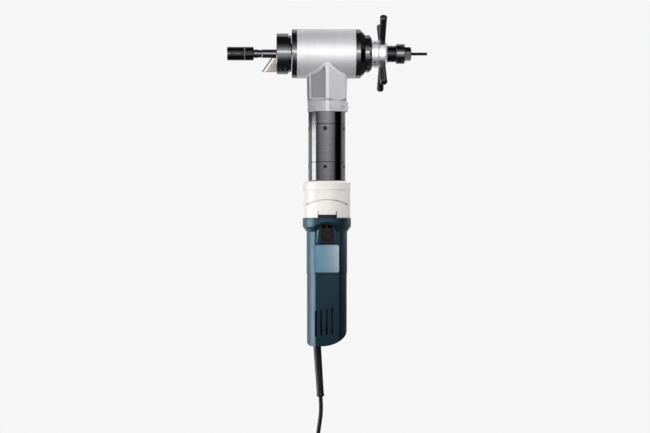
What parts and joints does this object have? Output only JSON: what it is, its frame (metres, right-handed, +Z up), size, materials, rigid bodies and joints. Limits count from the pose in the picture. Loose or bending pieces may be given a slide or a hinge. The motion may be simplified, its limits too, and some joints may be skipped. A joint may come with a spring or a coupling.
{
  "type": "pipe bevelling machine",
  "caption": "Electric pipe bevelling machine: an expanding mandrel grips the pipe's bore, a star handle feeds the turning cutter head, and a motor hangs below on a geared tube.",
  "frame": {"origin": "middle of the jaws, on the mandrel's axis", "axes": "+X back along the mandrel to the draw rod's end, +Z up, away from the motor, -Y the side with the switch"},
  "size_m": [0.2997, 0.107, 0.9265],
  "materials": {
    "blued_steel": "blackened, oiled",
    "jaw_steel": "blackened, ground",
    "spring_steel": "bright",
    "cast_aluminium": "machined casting",
    "black_anodised": "black anodised, satin",
    "turned_aluminium": "turned, bright",
    "black_paint": "gloss black",
    "ground_steel": "ground",
    "gear_steel": "hardened",
    "coated_steel": "coated high-speed steel",
    "black_screw": "blackened",
    "bronze": "turned",
    "seal_rubber": "matt",
    "cream_plastic": "semi-gloss",
    "teal_plastic": "semi-gloss, moulded",
    "black_plastic": "matt",
    "slider_plastic": "ribbed",
    "label_foil": "satin foil, bare",
    "stator_steel": "laminated",
    "copper": "enamelled wire",
    "carbon": "graphite",
    "brass": "satin",
    "cord_rubber": "satin",
    "strap": "woven",
    "pin_metal": "nickel-plated"
  },
  "bodies": {
    "mandrel": {"mandrel_shaft": "blued_steel", "thread_sleeve": "blued_steel", "mandrel_collar": "blued_steel", "jaw_ring": "spring_steel"},
    "draw_rod": {"draw_rod": "blued_steel"},
    "clamp_nut": {"clamp_nut": "blued_steel"},
    "jaw_1": {"jaw_1": "jaw_steel"},
    "jaw_2": {"jaw_2": "jaw_steel"},
    "jaw_3": {"jaw_3": "jaw_steel"},
    "machine": {"gear_housing": "cast_aluminium", "front_ring": "black_anodised", "front_seal": "seal_rubber", "front_bearing": "ground_steel", "rear_bearing": "ground_steel", "guide_bush": "bronze", "thrust_bearing": "ground_steel", "rear_cap": "black_anodised", "pinion_bearings": "ground_steel", "tube_upper": "black_anodised", "tube_middle": "black_anodised", "tube_lower": "black_anodised", "tube_screws": "black_screw", "adapter": "cream_plastic", "motor_bearings": "ground_steel", "motor_housing": "teal_plastic", "rear_cover": "teal_plastic", "label_plate": "label_foil", "switch_frame": "black_plastic", "switch_block": "black_plastic", "stator_core": "stator_steel", "field_coils": "copper", "brush_holders": "brass", "carbon_brushes": "carbon", "strain_relief": "cord_rubber", "cord": "cord_rubber", "cord_hank": "cord_rubber", "hank_tie": "strap", "plug_body": "black_plastic", "plug_pins": "pin_metal"},
    "cutter": {"spindle": "ground_steel", "bevel_gear": "gear_steel", "cutter_head": "blued_steel", "blade": "coated_steel", "blade_screws": "black_screw"},
    "pinion": {"bevel_pinion": "gear_steel", "carrier_3": "gear_steel", "planets_3": "gear_steel"},
    "second_stage": {"carrier_2": "gear_steel", "planets_2": "gear_steel"},
    "first_stage": {"carrier_1": "gear_steel", "planets_1": "gear_steel"},
    "armature": {"armature_shaft": "ground_steel", "armature_core": "stator_steel", "commutator": "copper", "cooling_fan": "black_plastic"},
    "feed_star": {"feed_hub": "turned_aluminium", "hub_ring": "turned_aluminium", "hub_screws": "black_screw", "handle_arms": "black_paint"},
    "switch": {"switch_slider": "slider_plastic"}
  },
  "joints": [
    {"name": "clamp_nut_turn", "type": "hinge", "parent": "mandrel", "child": "clamp_nut", "pos_m": [0.2511, 0, 0], "axis": [-1, 0, 0], "range_deg": [0, 5137.2]},
    {"name": "draw_rod_slide", "type": "slide", "parent": "mandrel", "child": "draw_rod", "axis": [1, 0, 0], "range_m": [0, 0.01427]},
    {"name": "jaw_1_slide", "type": "slide", "parent": "mandrel", "child": "jaw_1", "axis": [0, 1, 0], "range_m": [0, 0.0015], "deforming": ["jaw_ring"]},
    {"name": "jaw_2_slide", "type": "slide", "parent": "mandrel", "child": "jaw_2", "axis": [0, -0.5, 0.866], "range_m": [0, 0.0015]},
    {"name": "jaw_3_slide", "type": "slide", "parent": "mandrel", "child": "jaw_3", "axis": [0, -0.5, -0.866], "range_m": [0, 0.0015]},
    {"name": "feed_star_turn", "type": "hinge", "parent": "machine", "child": "feed_star", "pos_m": [0.212, 0, 0], "axis": [-1, 0, 0], "range_deg": [-2160, 3600]},
    {"name": "machine_feed", "type": "slide", "parent": "mandrel", "child": "machine", "axis": [-1, 0, 0], "range_m": [-0.012, 0.02]},
    {"name": "cutter_spin", "type": "hinge", "parent": "machine", "child": "cutter", "pos_m": [0.063, 0, 0], "axis": [1, 0, 0], "continuous": true},
    {"name": "pinion_spin", "type": "hinge", "parent": "machine", "child": "pinion", "pos_m": [0.12945, 0, -0.06], "axis": [0, 0, 1], "continuous": true},
    {"name": "second_stage_spin", "type": "hinge", "parent": "machine", "child": "second_stage", "pos_m": [0.12945, 0, -0.13], "axis": [0, 0, 1], "continuous": true},
    {"name": "first_stage_spin", "type": "hinge", "parent": "machine", "child": "first_stage", "pos_m": [0.12945, 0, -0.15], "axis": [0, 0, 1], "continuous": true},
    {"name": "armature_spin", "type": "hinge", "parent": "machine", "child": "armature", "pos_m": [0.12945, 0, -0.3], "axis": [0, 0, 1], "continuous": true},
    {"name": "switch_slide", "type": "slide", "parent": "machine", "child": "switch", "axis": [0, 0, 1], "range_m": [0, 0.0035]}
  ],
  "couplings": [
    {"joint": "clamp_nut_turn", "follows": "draw_rod_slide", "rad_per_m": 6283.2},
    {"joint": "jaw_1_slide", "follows": "draw_rod_slide", "ratio": 0.10512},
    {"joint": "jaw_2_slide", "follows": "draw_rod_slide", "ratio": 0.10512},
    {"joint": "jaw_3_slide", "follows": "draw_rod_slide", "ratio": 0.10512},
    {"joint": "feed_star_turn", "follows": "machine_feed", "rad_per_m": 3141.6},
    {"joint": "pinion_spin", "follows": "cutter_spin", "ratio": 2},
    {"joint": "second_stage_spin", "follows": "cutter_spin", "ratio": 9},
    {"joint": "first_stage_spin", "follows": "cutter_spin", "ratio": 40.5},
    {"joint": "armature_spin", "follows": "cutter_spin", "ratio": 182.25}
  ]
}
